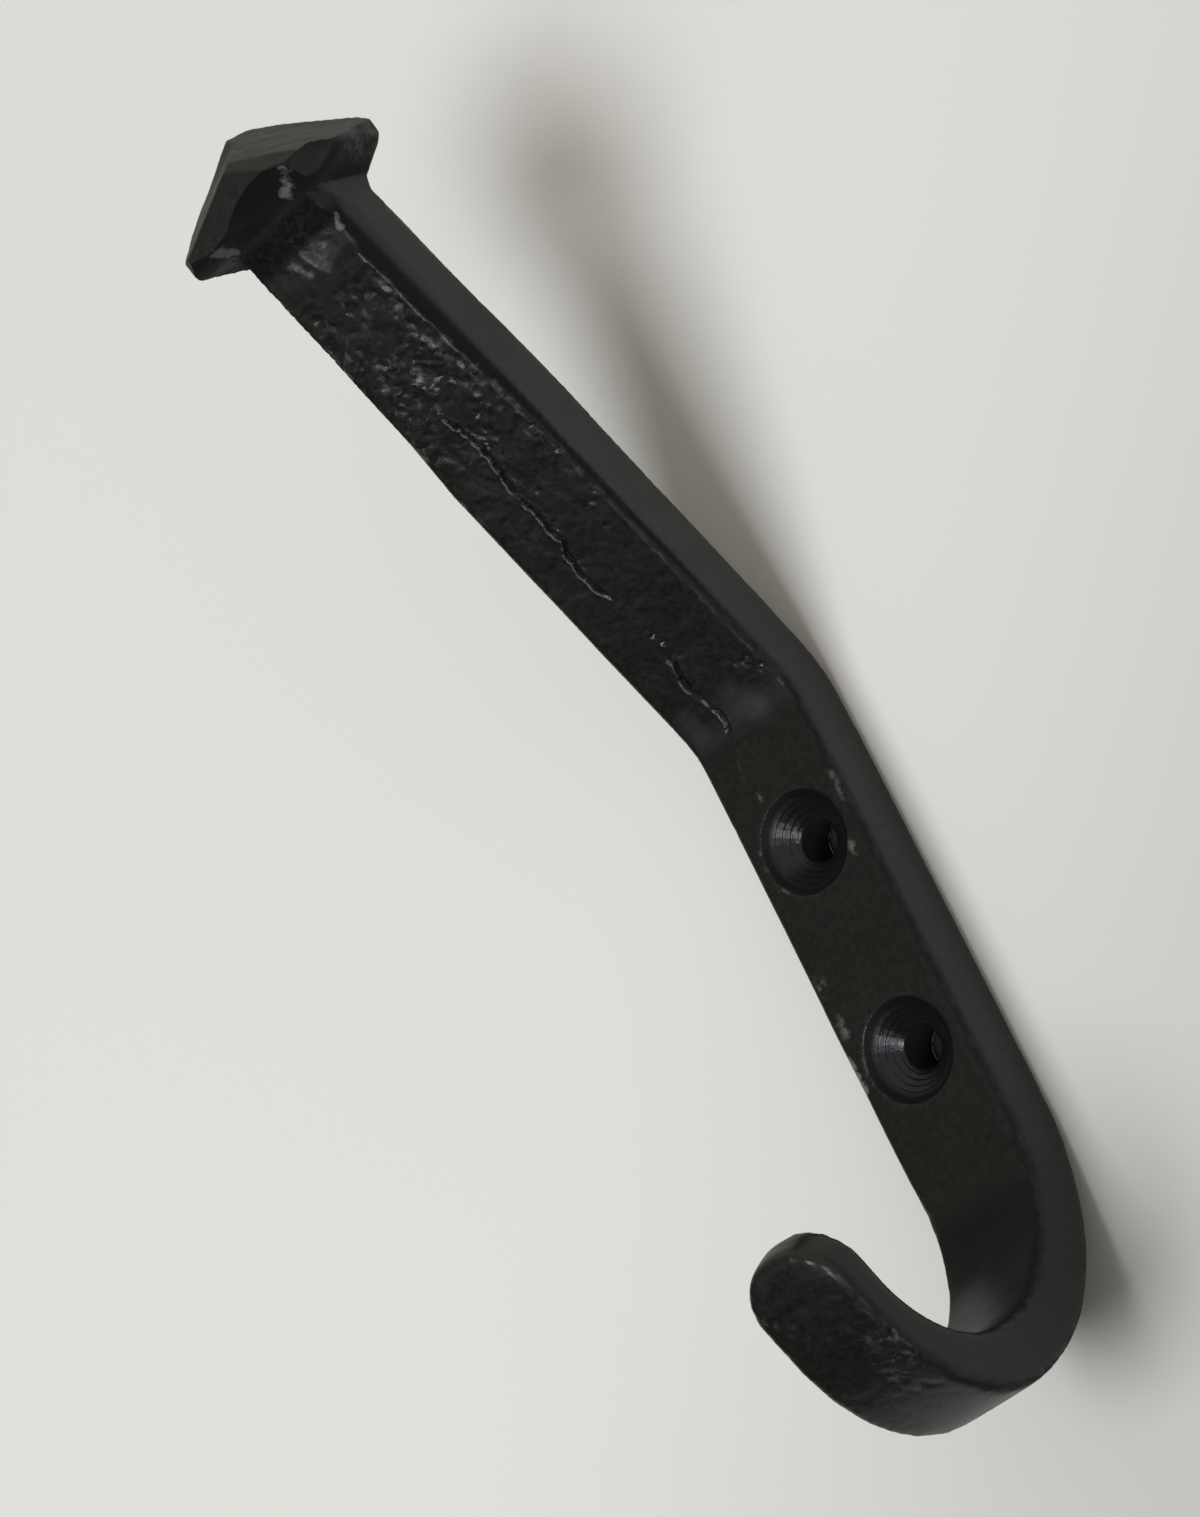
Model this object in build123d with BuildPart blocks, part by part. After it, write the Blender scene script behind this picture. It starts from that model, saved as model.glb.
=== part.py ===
import os
from math import cos, radians, sin

from build123d import *

os.makedirs("parts", exist_ok=True)

# Frame: X across the strap, the front faces -Y, the wall face lies on Y = 0 and the head is up.
# The origin is on the wall face, midway between the two screw holes.

# Strap against the wall
strap_width = 18.5
strap_thickness = 10.1
strap_above_centre = 30.7
strap_below_centre = 29.8
edge_radius = 1.1

# Countersunk screw holes
hole_spacing = 30.6
screw_hole_diameter = 5.7
countersink_diameter = 13.8
countersink_angle = 100

# Upper bend, on the centre line, and the arm that leans out from the wall
upper_bend_radius = 15.0
arm_lean = 31.2
arm_length = 80.2
arm_middle_share = 0.55
arm_middle_width = 17.7
arm_middle_thickness = 11.6
neck_width = 14.9
neck_front_width = 13.8
neck_thickness = 13.6
neck_front_bevel = 6.4
neck_back_bevel = 1.2

# Lower hook: two arcs on the centre line, thinning towards the tip
first_arc_radius = 29.5
first_arc_turn = 73.6
second_arc_radius = 20.8
second_arc_turn = 78.5
hook_middle_width = 14.6
hook_middle_thickness = 8.6
tip_width = 14.2
tip_thickness = 6.4
tip_straight = 4.1

# Spike head: a cap over a flared collar, leaning back from the arm, its lip lower on the left
head_tilt = 17.0
lip_roll = 6.9
collar_height = 3.4
collar_width = 16.8
collar_depth = 15.8
collar_corner = 2.0
flare_height = 1.3
head_width = 26.4
head_depth = 20.9
head_forward = 2.6
head_aside = 1.0
head_corner = 2.7
head_height = 15.3

# Hammered facets of the head: the direction each one faces around the cap, from +X, its slope from
# level, and its distance from the middle of the collar, as a share of the head's height
head_facet_shares = [
    (-46.3, 44.6, 0.857),
    (-19, 31, 0.695),
    (-14, 32.7, 0.703),
    (86, 76, 0.664),
    (139.6, 35.7, 1.035),
    (184, 40.1, 0.891),
    (-122.4, 39, 0.775),
    (-152.4, 93.5, 0.977),
]


def arm_plane(along):
    """Section across the arm, its Z axis towards the head and its Y axis towards the wall."""
    lean = radians(arm_lean)
    start_y = strap_centre - upper_bend_radius * (1 - cos(lean))
    start_z = strap_above_centre + upper_bend_radius * sin(lean)
    return Plane(
        origin=(0, start_y - along * sin(lean), start_z + along * cos(lean)),
        x_dir=(1, 0, 0),
        z_dir=(0, -sin(lean), cos(lean)),
    )


def bar_outline(width, thickness):
    RectangleRounded(width, thickness, edge_radius)


def collar_outline():
    collar = Rectangle(collar_width, collar_depth)
    chamfer(collar.vertices(), collar_corner)


def lip_outline():
    with Locations((head_aside, -head_forward)):
        rim = Rectangle(head_width, head_depth)
    chamfer(rim.vertices(), head_corner)


def neck_outline():
    half_width = neck_width / 2
    half_front = neck_front_width / 2
    half_thickness = neck_thickness / 2
    right_side = [
        (half_front, -half_thickness),
        (half_width, neck_front_bevel - half_thickness),
        (half_width, half_thickness - neck_back_bevel),
        (half_width - neck_back_bevel, half_thickness),
    ]
    Polygon(right_side + [(-x, y) for x, y in reversed(right_side)], align=None)


strap_centre = -strap_thickness / 2
strap_foot = Plane(origin=(0, strap_centre, -strap_below_centre), x_dir=(1, 0, 0), z_dir=(0, 0, 1))
strap_top = strap_foot.offset(strap_below_centre + strap_above_centre)
neck = arm_plane(arm_length)
cap = neck.offset(collar_height).rotated((-head_tilt, 0, 0))
lip = cap.offset(flare_height).rotated((0, -lip_roll, 0))

# The head: flare and crown, cut by its facets, then the neck that carries it
with BuildPart() as head:
    with BuildSketch(cap):
        collar_outline()
    with BuildSketch(lip):
        lip_outline()
    loft(ruled=True)
    with BuildSketch(lip):
        lip_outline()
    extrude(amount=head_height)
    for around, slope, distance_share in head_facet_shares:
        outward = cap.x_dir * cos(radians(around)) + cap.y_dir * sin(radians(around))
        facing = outward * sin(radians(slope)) + cap.z_dir * cos(radians(slope))
        facet = Plane(cap.origin + facing * (distance_share * head_height), z_dir=facing)
        split(bisect_by=facet, keep=Keep.BOTTOM)
    with BuildSketch(neck):
        neck_outline()
    with BuildSketch(cap):
        collar_outline()
    loft(ruled=True)

# The whole forging
with BuildPart() as spike_hook:
    # Strap, then the upper bend turned about an axis in front of it
    with BuildSketch(strap_foot):
        bar_outline(strap_width, strap_thickness)
    extrude(amount=strap_below_centre + strap_above_centre)
    with BuildSketch(strap_top):
        bar_outline(strap_width, strap_thickness)
    bend_axis = Axis((0, strap_centre - upper_bend_radius, strap_above_centre), (1, 0, 0))
    revolve(axis=bend_axis, revolution_arc=arm_lean)

    # Arm, from the flat strap to the bevelled neck
    with BuildSketch(arm_plane(0)):
        bar_outline(strap_width, strap_thickness)
    with BuildSketch(arm_plane(arm_length * arm_middle_share)):
        bar_outline(arm_middle_width, arm_middle_thickness)
    with BuildSketch(neck):
        neck_outline()
    loft(ruled=True)

    # Lower hook, swept along its two arcs
    with BuildLine(Plane.YZ) as first_curl:
        first = JernArc((strap_centre, -strap_below_centre), (0, -1), first_arc_radius, -first_arc_turn)
    with BuildSketch(Plane(first @ 0, (1, 0, 0), first % 0)):
        bar_outline(strap_width, strap_thickness)
    hook_middle = Plane(first_curl.line @ 1, (1, 0, 0), first_curl.line % 1)
    with BuildSketch(hook_middle):
        bar_outline(hook_middle_width, hook_middle_thickness)
    sweep(path=first_curl.line, multisection=True)
    with BuildLine(Plane.YZ) as second_curl:
        JernArc(first @ 1, first % 1, second_arc_radius, -second_arc_turn)
    tip = Plane(second_curl.line @ 1, (1, 0, 0), second_curl.line % 1)
    with BuildSketch(hook_middle):
        bar_outline(hook_middle_width, hook_middle_thickness)
    with BuildSketch(tip):
        bar_outline(tip_width, tip_thickness)
    sweep(path=second_curl.line, multisection=True)

    # Straight end with a half round tip
    with BuildSketch(tip):
        bar_outline(tip_width, tip_thickness)
    extrude(amount=tip_straight)
    tip_end = tip.offset(tip_straight)
    with BuildSketch(tip_end):
        bar_outline(tip_width, tip_thickness)
        Rectangle(tip_width, tip_thickness, align=(Align.MAX, Align.CENTER), mode=Mode.SUBTRACT)
    revolve(axis=Axis(tip_end.origin, -tip_end.y_dir), revolution_arc=180)

    add(head.part)

    # Screw holes, sunk from the front
    front = Plane(origin=(0, -strap_thickness, 0), x_dir=(1, 0, 0), z_dir=(0, -1, 0))
    with Locations(front):
        with GridLocations(0, hole_spacing, 1, 2):
            CounterSinkHole(
                radius=screw_hole_diameter / 2,
                counter_sink_radius=countersink_diameter / 2,
                counter_sink_angle=countersink_angle,
            )

spike_hook.part.label = "spike_hook"
export_step(spike_hook.part, "parts/spike_hook.step")
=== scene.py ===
import math

import bmesh
import bpy
import numpy as np
from mathutils import Matrix, Vector
from mathutils.bvhtree import BVHTree


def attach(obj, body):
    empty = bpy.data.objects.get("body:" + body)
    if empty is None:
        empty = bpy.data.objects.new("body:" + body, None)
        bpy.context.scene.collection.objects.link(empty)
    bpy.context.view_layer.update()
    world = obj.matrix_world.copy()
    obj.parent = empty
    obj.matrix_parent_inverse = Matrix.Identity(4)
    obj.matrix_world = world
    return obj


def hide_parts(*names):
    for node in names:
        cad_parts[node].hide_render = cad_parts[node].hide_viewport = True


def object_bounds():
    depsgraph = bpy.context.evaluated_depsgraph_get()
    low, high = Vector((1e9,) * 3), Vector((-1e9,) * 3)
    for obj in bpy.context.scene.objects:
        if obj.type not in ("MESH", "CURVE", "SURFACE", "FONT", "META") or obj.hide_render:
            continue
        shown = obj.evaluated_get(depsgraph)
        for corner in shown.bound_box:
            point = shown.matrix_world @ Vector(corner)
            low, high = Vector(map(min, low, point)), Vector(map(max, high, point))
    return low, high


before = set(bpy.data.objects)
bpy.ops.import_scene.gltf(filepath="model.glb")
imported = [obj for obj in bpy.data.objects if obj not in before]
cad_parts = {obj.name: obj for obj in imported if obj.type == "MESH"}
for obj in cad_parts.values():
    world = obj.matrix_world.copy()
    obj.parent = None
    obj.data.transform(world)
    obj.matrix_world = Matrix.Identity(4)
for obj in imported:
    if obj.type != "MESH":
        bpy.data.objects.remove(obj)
cadBox = [list(corner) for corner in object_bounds()]
scene = bpy.context.scene
scene.view_settings.view_transform = "Standard"
mm = 0.001
perMetre = 1000.0
print("frame loaded:", sorted(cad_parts))


# node helpers, shared by the geometry tree and the materials
def feed(tree, socket, value):
    if isinstance(value, bpy.types.NodeSocket):
        tree.links.new(value, socket)
    else:
        socket.default_value = value


def addNode(tree, kind, feeds=None, **settings):
    node = tree.nodes.new(kind)
    for name, value in settings.items():
        setattr(node, name, value)
    for key, value in (feeds or {}).items():
        feed(tree, node.inputs[key], value)
    return node


def calc(tree, operation, a, b=0.0, clamp=False):
    node = addNode(tree, "ShaderNodeMath", {0: a, 1: b}, operation=operation, use_clamp=clamp)
    return node.outputs[0]


def times(tree, first, *others):
    for other in others:
        first = calc(tree, "MULTIPLY", first, other)
    return first


def plus(tree, first, *others):
    for other in others:
        first = calc(tree, "ADD", first, other)
    return first


def minus(tree, a, b):
    return calc(tree, "SUBTRACT", a, b)


def vectorCalc(tree, operation, a, b):
    return addNode(tree, "ShaderNodeVectorMath", {0: a, 1: b}, operation=operation)


def scaled(tree, vector, factor):
    return addNode(tree, "ShaderNodeVectorMath", {0: vector, "Scale": factor}, operation="SCALE").outputs[0]


def ramp(tree, value, low, high, toLow=0.0, toHigh=1.0):
    feeds = {0: value, 1: low, 2: high, 3: toLow, 4: toHigh}
    return addNode(tree, "ShaderNodeMapRange", feeds, interpolation_type="SMOOTHSTEP").outputs[0]


def mixColour(tree, amount, a, b):
    node = addNode(tree, "ShaderNodeMix", {"Factor": amount}, data_type="RGBA")
    feed(tree, node.inputs[6], a)
    feed(tree, node.inputs[7], b)
    return node.outputs[2]


def noise(tree, place, size, detail=2.0, roughness=0.5, distortion=0.0, seed=0.0):
    feeds = {"Vector": place, "W": seed, "Scale": 1.0 / size, "Detail": detail,
             "Roughness": roughness, "Distortion": distortion}
    return addNode(tree, "ShaderNodeTexNoise", feeds, noise_dimensions="4D")


def cloud(tree, place, **kind):
    return noise(tree, place, **kind).outputs[0]


# a cloud less a level, so that it is mostly pressed in
def pressedCloud(tree, place, level, **kind):
    return minus(tree, cloud(tree, place, **kind), level)


# a cloud cut between two steps
def cutCloud(tree, place, steps, **kind):
    return ramp(tree, cloud(tree, place, **kind), *steps)


# the hook's own sizes, in millimetres, as the solid has them
hook = {
    "armStart": (0.0, -7.22, 38.47),
    "armLean": 31.2,
    "holeHeights": (15.3, -15.3),
    "sinkRadius": 6.9,
    "boreReach": 3.4,
    "lipStart": (0.0, -50.85, 111.24),
    "lipAcross": (0.993, 0.0, 0.120),
    "lipBack": (-0.030, 0.969, 0.244),
    "lipUp": (-0.117, -0.245, 0.962),
}
lean = math.radians(hook["armLean"])
armStart = np.array(hook["armStart"])
armAlong = np.array((0.0, -math.sin(lean), math.cos(lean)))
armFront = np.array((0.0, -math.cos(lean), -math.sin(lean)))
lipStart = np.array(hook["lipStart"])
lipAxes = np.array((hook["lipAcross"], hook["lipBack"], hook["lipUp"]))
lipUp = lipAxes[2]


def alongArm(points):
    return (points - armStart) @ armAlong


def onLip(points):
    return (points - lipStart) @ lipAxes.T


def holeDistance(points):
    away = [np.hypot(points[:, 0], points[:, 2] - height) for height in hook["holeHeights"]]
    return np.minimum(*away)


def lineDistance(points, start, end):
    run = np.array(end) - np.array(start)
    share = np.clip((points - start) @ run / (run @ run), 0.0, 1.0)
    return np.linalg.norm(points - start - share[:, None] * run, axis=1)


def blend(values, low, high):
    share = np.clip((values - low) / (high - low), 0.0, 1.0)
    return share * share * (3.0 - 2.0 * share)


def meshPoints(mesh):
    points = np.zeros(len(mesh.vertices) * 3)
    mesh.vertices.foreach_get("co", points)
    return points.reshape(-1, 3)


def meshNormals(mesh):
    normals = np.zeros(len(mesh.vertices) * 3)
    mesh.vertex_normals.foreach_get("vector", normals)
    return normals.reshape(-1, 3)


# the mesh that an object's modifiers give, with the modifiers then removed
def plainMesh(piece):
    graph = bpy.context.evaluated_depsgraph_get()
    mesh = bpy.data.meshes.new_from_object(piece.evaluated_get(graph))
    piece.modifiers.clear()
    return mesh


# the seam that wanders down the arm, through points on its front face
seamPoints = (
    (-1.1, -39.5, 80.1), (0.0, -36.6, 75.6), (-1.3, -31.9, 68.2), (-1.1, -28.0, 62.0), (-2.6, -25.2, 57.6),
    (-2.0, -23.5, 54.9), (-1.2, -19.9, 49.1), (-1.6, -17.2, 44.8), (-2.6, -14.1, 40.0), (-1.9, -11.4, 35.7),
    (-2.7, -10.1, 31.6), (-3.8, -10.1, 26.9),
)


def seamDistance(points):
    runs = zip(seamPoints[:-1], seamPoints[1:])
    return np.minimum.reduce([lineDistance(points, start, end) for start, end in runs])


# the even skin over the solid, and where its bends are eased, in millimetres and passes
skinMaking = {
    "weld": 0.002,
    "voxel": 0.75,
    "curlTop": -27.0,  # the curl lies below this height
    "bendMiddle": -4.0,  # the upper bend, along the arm
    "bendReach": 9.0,
    "flareStart": 84.0,  # the head's flare, along the arm and under the lip
    "flareTop": -0.5,
    "flareTurn": -0.35,
    "broadTurn": 0.3,  # the most that a broad face, or a corner, turns sideways
    "cornerTurn": 0.9,
    "broadPasses": 10,
    "cornerPasses": 2,
    "flarePasses": 8,
}
# where the skin is finer: places and reaches in millimetres, and how far a face has turned there
fineAreas = {
    "armStart": -12.0,
    "armTurn": 0.45,
    "headStart": 78.0,
    "curlTop": -36.0,
    "curlOut": -36.0,
    "curlTurn": 0.4,
    "holeReach": 7.3,
    "holeOut": -1.0,
    "sinkReach": 7.1,
    "sinkOut": -3.0,
    "sinkTurn": -0.97,
    "rimHeight": 0.6,
    "rimReach": 2.4,
    "rimOut": -8.5,
    "rimHalf": 14.5,
    "seamReach": 1.2,
    "seamTurn": 0.7,
}


def settle(surface, vertices):
    for vertex in vertices:
        vertex.co = surface.find_nearest(vertex.co)[0]


def relax(bm, vertices, passes=1):
    for _ in range(passes):
        bmesh.ops.smooth_vert(bm, verts=vertices, factor=0.5,
                              use_axis_x=True, use_axis_y=True, use_axis_z=True)


def refine(bm, surface, wanted):
    bm.normal_update()
    centres = np.array([face.calc_center_median() for face in bm.faces]) / mm
    normals = np.array([face.normal for face in bm.faces])
    picked = wanted(centres, normals)
    edges = dict.fromkeys(edge for face, pick in zip(bm.faces, picked) if pick for edge in face.edges)
    made = bmesh.ops.subdivide_edges(bm, edges=list(edges), cuts=1, use_grid_fill=True)
    fresh = [item for item in made["geom_inner"] if isinstance(item, bmesh.types.BMVert)]
    settle(surface, [vertex for vertex in fresh if vertex.co.z > skinMaking["curlTop"] * mm])


def detailed(centres, normals):
    along = alongArm(centres)
    front = normals @ armFront
    arm = (front > fineAreas["armTurn"]) & (along > fineAreas["armStart"])
    head = along > fineAreas["headStart"]
    curl = (centres[:, 2] < fineAreas["curlTop"]) & (centres[:, 1] < fineAreas["curlOut"])
    curl &= front > fineAreas["curlTurn"]
    holes = (holeDistance(centres) < fineAreas["holeReach"]) & (centres[:, 1] < fineAreas["holeOut"])
    return arm | head | curl | holes


def finest(centres, normals):
    local = onLip(centres)
    sunk = (holeDistance(centres) < fineAreas["sinkReach"]) & (centres[:, 1] < fineAreas["sinkOut"])
    sunk &= normals[:, 1] > fineAreas["sinkTurn"]
    rim = np.abs(local[:, 2] - fineAreas["rimHeight"]) < fineAreas["rimReach"]
    rim &= (local[:, 1] < fineAreas["rimOut"]) & (np.abs(local[:, 0]) < fineAreas["rimHalf"])
    seam = seamDistance(centres) < fineAreas["seamReach"]
    seam &= normals @ armFront > fineAreas["seamTurn"]
    return sunk | rim | seam


# takes out the solid's flat steps round the bends and under the head
def easeBends(bm):
    bm.normal_update()
    points = np.array([vertex.co for vertex in bm.verts]) / mm
    normals = np.array([vertex.normal for vertex in bm.verts])
    along = alongArm(points)
    sideways = np.abs(normals[:, 0])
    bent = points[:, 2] < skinMaking["curlTop"]
    bent |= np.abs(along - skinMaking["bendMiddle"]) < skinMaking["bendReach"]
    flare = (along > skinMaking["flareStart"]) & (onLip(points)[:, 2] < skinMaking["flareTop"])
    flare &= normals @ lipUp < skinMaking["flareTurn"]
    rounds = (
        (bent & (sideways < skinMaking["broadTurn"]), skinMaking["broadPasses"]),
        (bent & (sideways < skinMaking["cornerTurn"]), skinMaking["cornerPasses"]),
        (flare, skinMaking["flarePasses"]),
    )
    for chosen, passes in rounds:
        relax(bm, [vertex for vertex, pick in zip(bm.verts, chosen) if pick], passes)


# hollows cut in the head by round tools: where they meet its rim or crown, on the lip's own axes,
# what way the cut faces, its depth and the tool's radius, in millimetres
headCuts = (
    {"rim": (3.8, -13.05, 0.0), "faces": (0.06, -0.42, -0.90), "depth": 1.9, "tool": 15.0},
    {"rim": (14.2, -7.0, 0.0), "faces": (0.45, -0.55, -0.70), "depth": 1.3, "tool": 16.0},
    {"rim": (-9.4, -13.05, 0.0), "faces": (-0.15, -0.62, -0.77), "depth": 0.9, "tool": 9.0},
    {"rim": (14.2, 4.6, 0.4), "faces": (0.95, 0.0, -0.30), "depth": 0.5, "tool": 2.6},
    {"rim": (14.2, 0.6, 1.0), "faces": (0.95, 0.0, 0.30), "depth": 0.35, "tool": 3.0},
    {"rim": (-1.0, -8.0, 8.2), "faces": (-0.2, -0.35, 0.91), "depth": 0.5, "tool": 24.0},
)
headFloor = 100.0  # the head lies above this height


def dressHead(bm):
    local = onLip(np.array([vertex.co for vertex in bm.verts]) / mm)
    for cut in headCuts:
        faces = np.array(cut["faces"]) / np.linalg.norm(cut["faces"])
        away = local - (np.array(cut["rim"]) + faces * (cut["tool"] - cut["depth"]))
        square = np.sum(away * away, axis=1)
        deep = away @ faces
        reach = deep + np.sqrt(np.maximum(deep * deep - square + cut["tool"] ** 2, 0.0))
        local -= np.where(square < cut["tool"] ** 2, reach, 0.0)[:, None] * faces
    moved = local @ lipAxes + lipStart
    for vertex, place in zip(bm.verts, moved):
        if vertex.co.z > headFloor * mm:
            vertex.co = Vector(place * mm)


def evenSkin(node):
    solid = bmesh.new()
    solid.from_mesh(node.data)
    bmesh.ops.remove_doubles(solid, verts=solid.verts, dist=skinMaking["weld"] * mm)
    surface = BVHTree.FromBMesh(solid)
    mesh = bpy.data.meshes.new("hookBlank")
    solid.to_mesh(mesh)
    solid.free()
    blank = bpy.data.objects.new("hookBlank", mesh)
    scene.collection.objects.link(blank)
    remesh = blank.modifiers.new("evenSkin", "REMESH")
    remesh.mode = "VOXEL"
    remesh.voxel_size = skinMaking["voxel"] * mm
    blank.data = plainMesh(blank)
    return blank, surface


def shapeSkin(mesh, surface):
    bm = bmesh.new()
    bm.from_mesh(mesh)
    settle(surface, bm.verts)
    relax(bm, bm.verts)
    settle(surface, bm.verts)
    easeBends(bm)
    refine(bm, surface, detailed)
    refine(bm, surface, finest)
    dressHead(bm)
    relax(bm, bm.verts)
    bmesh.ops.triangulate(bm, faces=bm.faces)
    bm.normal_update()
    bm.to_mesh(mesh)
    bm.free()


blank, cadSurface = evenSkin(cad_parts["spike_hook"])
shapeSkin(blank.data, cadSurface)
print("even skin:", len(blank.data.polygons), "triangles")

# where the dust, painted sheen and reflection, wear, painted glints and pits lie: from, to and radius, in
# millimetres
marks = {
    "dust": (
        ((-4.0, -19.5, -48.6), (0.0, -25.0, -52.0), 6.5),  # painted reflection on the curl
        ((2.6, -40.0, -61.3), (0.0, -33.0, -63.0), 9.0),
        ((1.0, -12.0, 36.5), (3.0, -10.8, 34.0), 3.4),  # painted sheen on the upper bend
        ((-6.4, -12.4, 37.2), (-6.5, -11.1, 35.0), 2.6),
        ((11.6, -53.5, 115.0), (6.0, -50.0, 118.0), 5.0),  # paler patches on the head
        ((14.2, -51.0, 113.4), (12.5, -47.0, 113.6), 3.4),
    ),
    "worn": (
        ((9.4, -62.4, 109.2), (5.6, -59.0, 108.4), 2.0),  # painted glints under the lip
        ((-5.6, -62.4, 108.0), (-6.0, -59.0, 107.8), 1.9),
        ((7.2, -53.1, 105.4), (6.9, -53.4, 104.2), 0.7),  # a painted glint at the neck's corner
        ((6.9, -53.2, 103.6), (6.2, -54.0, 103.0), 1.3),
        ((-8.6, -9.8, -12.4), (-8.8, -9.8, -16.5), 1.4),  # the strap's left edge
    ),
    "rubbed": (
        ((-1.8, -54.4, 103.2), (-0.6, -53.2, 101.5), 0.9),  # the neck
        ((13.9, -48.1, 114.3), (12.0, -51.0, 115.7), 5.0),  # the right of the lip
        ((12.9, -47.2, 113.3), (13.8, -51.6, 112.8), 4.6),
        ((6.2, -10.1, 11.5), (6.5, -10.1, 10.3), 0.75),  # specks on the strap
        ((-2.8, -10.1, 24.1), (-2.9, -10.1, 23.6), 0.6),
        ((8.6, -10.0, 20.4), (8.6, -10.0, 17.0), 0.6),
        ((-7.4, -10.1, -1.0), (-7.7, -10.1, -2.6), 0.95),
        ((-7.4, -10.1, -6.8), (-7.4, -10.1, -9.4), 0.7),
    ),
    "flakes": (
        ((5.2, -50.4, -53.6), (3.0, -45.4, -58.2), 5.0),  # the curl's outside
        ((-5.0, -56.0, -46.0), (-3.6, -55.0, -48.0), 2.6),
    ),
    "pits": (
        ((5.1, -27.2, 60.8), (5.6, -28.4, 62.6), 2.2),  # the arm
        ((8.0, -33.0, 70.5), (7.4, -35.0, 73.6), 2.0),
        ((-0.7, -20.2, 49.6), (-1.6, -16.2, 43.2), 2.2),
        ((6.1, -13.4, 38.9), (8.6, -12.4, 38.0), 2.0),
        ((1.5, -35.8, 74.4), (2.2, -37.6, 77.4), 2.6),
        ((5.2, -50.4, -53.6), (3.6, -46.4, -57.6), 2.5),  # the curl's outside
    ),
}
markCore = 0.2  # the share of a mark's radius that is full

# what changes along the arm, and the seam by height: places, then values there
profiles = {
    "scale": ((-14.0, -4.0, 20.0, 42.0, 54.0, 67.0, 71.0, 76.0), (0.0, 0.1, 0.2, 0.45, 0.85, 1.0, 0.75, 0.1)),
    "halfWidth": ((0.0, 44.0, 80.0), (8.45, 8.05, 6.75)),
    "halfDepth": ((0.0, 44.1, 80.2), (5.05, 5.8, 6.8)),
    "edgeWear": ((10.0, 30.0, 45.0, 76.0, 80.0), (0.0, 0.35, 1.0, 1.0, 0.0)),
    # how wide the painted shade strip is, along the arm
    "shadeWidth": ((0.0, 40.0, 78.0), (0.9, 1.5, 3.8)),
    "seam": ((26.0, 33.0, 36.0, 43.0, 45.0, 53.0, 55.0), (0.1, 0.35, 1.0, 1.0, 0.0, 0.0, 1.0)),
}
# where each finish starts and is full, in millimetres
zones = {
    "scaleEnd": (80.0, 83.0),  # along the arm
    "lumps": (76.5, 80.0),
    "headSkin": (84.0, 87.0),
    # where the painted shade starts, where it starts round the neck, and where it ends
    "shadeStart": (-6.0, 20.0),
    "neckShade": (79.5, 81.5),
    "shadeEnd": (81.0, 84.0),
    "bendBlows": (5.0, 10.0),  # each way along the arm from the bend's middle
    "edgeLine": (0.15, 0.55),  # from the arm's edge
    "holeEdge": (7.2, 8.2),  # out from a hole's middle
    "cornerByHole": (7.2, 8.0),
    "sinkEdge": (0.5, 1.7),  # in from a countersink's edge
    "sinkLow": (0.0, 3.5),  # down from a hole's middle
    "rimLine": (0.1, 0.35),  # from a countersink's rim
    "rimLeft": (3.0, 6.0),  # left of a hole's middle
    "wallFace": (-1.2, -0.3),  # from the wall, less than 0 on the hook's side
    "curlOut": (34.0, 46.0),  # out from the wall
    "curlDown": (36.0, 42.0),  # down from the strap's middle
    "curlInside": (30.0, 40.0),
    "tipTop": (-47.0, -43.0),  # height
}
# how far a face has turned that way where each finish starts and is full
turns = {
    "wallFace": (0.3, 0.7),
    "scale": (0.6, 0.9),
    "curlScale": (0.4, 0.8),
    "lumps": (0.1, 0.5),
    "edgeLine": (0.3, 0.5),
    # how far faces turn for the painted shade strip
    "shadeStrip": (0.55, 0.8),
    "cornerStart": (0.07, 0.3),
    "cornerEnd": (0.7, 0.93),
    "rightSide": (0.4, 0.8),
    "underHead": (0.03, 0.3),
    "curlInside": (0.1, 0.3),
}
amounts = {
    "curlScale": 0.25,
    "curlFlakes": 0.65,
    "bendBlows": 0.2,
    # how strong each painted shade is, and how much dust and painted reflection lift it in the curl
    "cornerShade": 0.9,
    "headShade": 0.82,
    "neckShade": 0.85,
    "curlShade": 0.75,
    "curlDustAndSheen": 0.8,
    "sinkShade": 0.8,
}
# where else a finish stops, in millimetres, and how far a face has turned there
limits = {
    "tipOut": -40.0,  # from the wall
    "curlOut": -30.0,
    "blowsOut": -5.0,
    "wallTop": 42.0,  # height
    "blowsMiddle": -2.0,  # along the arm
    "curlTurn": -0.2,
    "stripEdge": (0.8, 1.2),  # shares of the painted shade's width
}
# the countersinks: the rim's radius and how far out from the wall each part starts, in millimetres,
# and how far its faces have turned
sink = {
    "rim": 7.0,
    "rimOut": -9.0,
    "rimTurn": -0.5,
    "coneOut": -2.0,
    "coneTurn": (-0.93, -0.2),
    "sunkTurn": -0.95,
    "boreOut": -0.2,
    "boreTurn": 0.4,
}
cornerSway = ((0.06, 0.9, 0.0), (0.06, 2.3, 1.0))  # how the corner's painted dark line wavers: size, rate and shift


def profile(places, name):
    return np.interp(places, *profiles[name])


def zone(values, name):
    return blend(values, *zones[name])


def turned(values, name):
    return blend(values, *turns[name])


def nearMarks(points, name):
    amount = np.zeros(len(points))
    for start, end, radius in marks[name]:
        away = lineDistance(points, start, end)
        amount = np.maximum(amount, 1.0 - blend(away, markCore * radius, radius))
    return amount


def scaleOn(points, normals):
    along = alongArm(points)
    front = normals @ armFront
    arm = turned(front, "scale") * (profile(along, "scale") * (1.0 - zone(along, "scaleEnd")))
    curl = turned(front, "curlScale") * zone(-points[:, 2], "curlDown") * zone(-points[:, 1], "curlOut")
    curl *= amounts["curlScale"] + amounts["curlFlakes"] * nearMarks(points, "flakes")
    return np.maximum(arm, curl)
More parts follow.
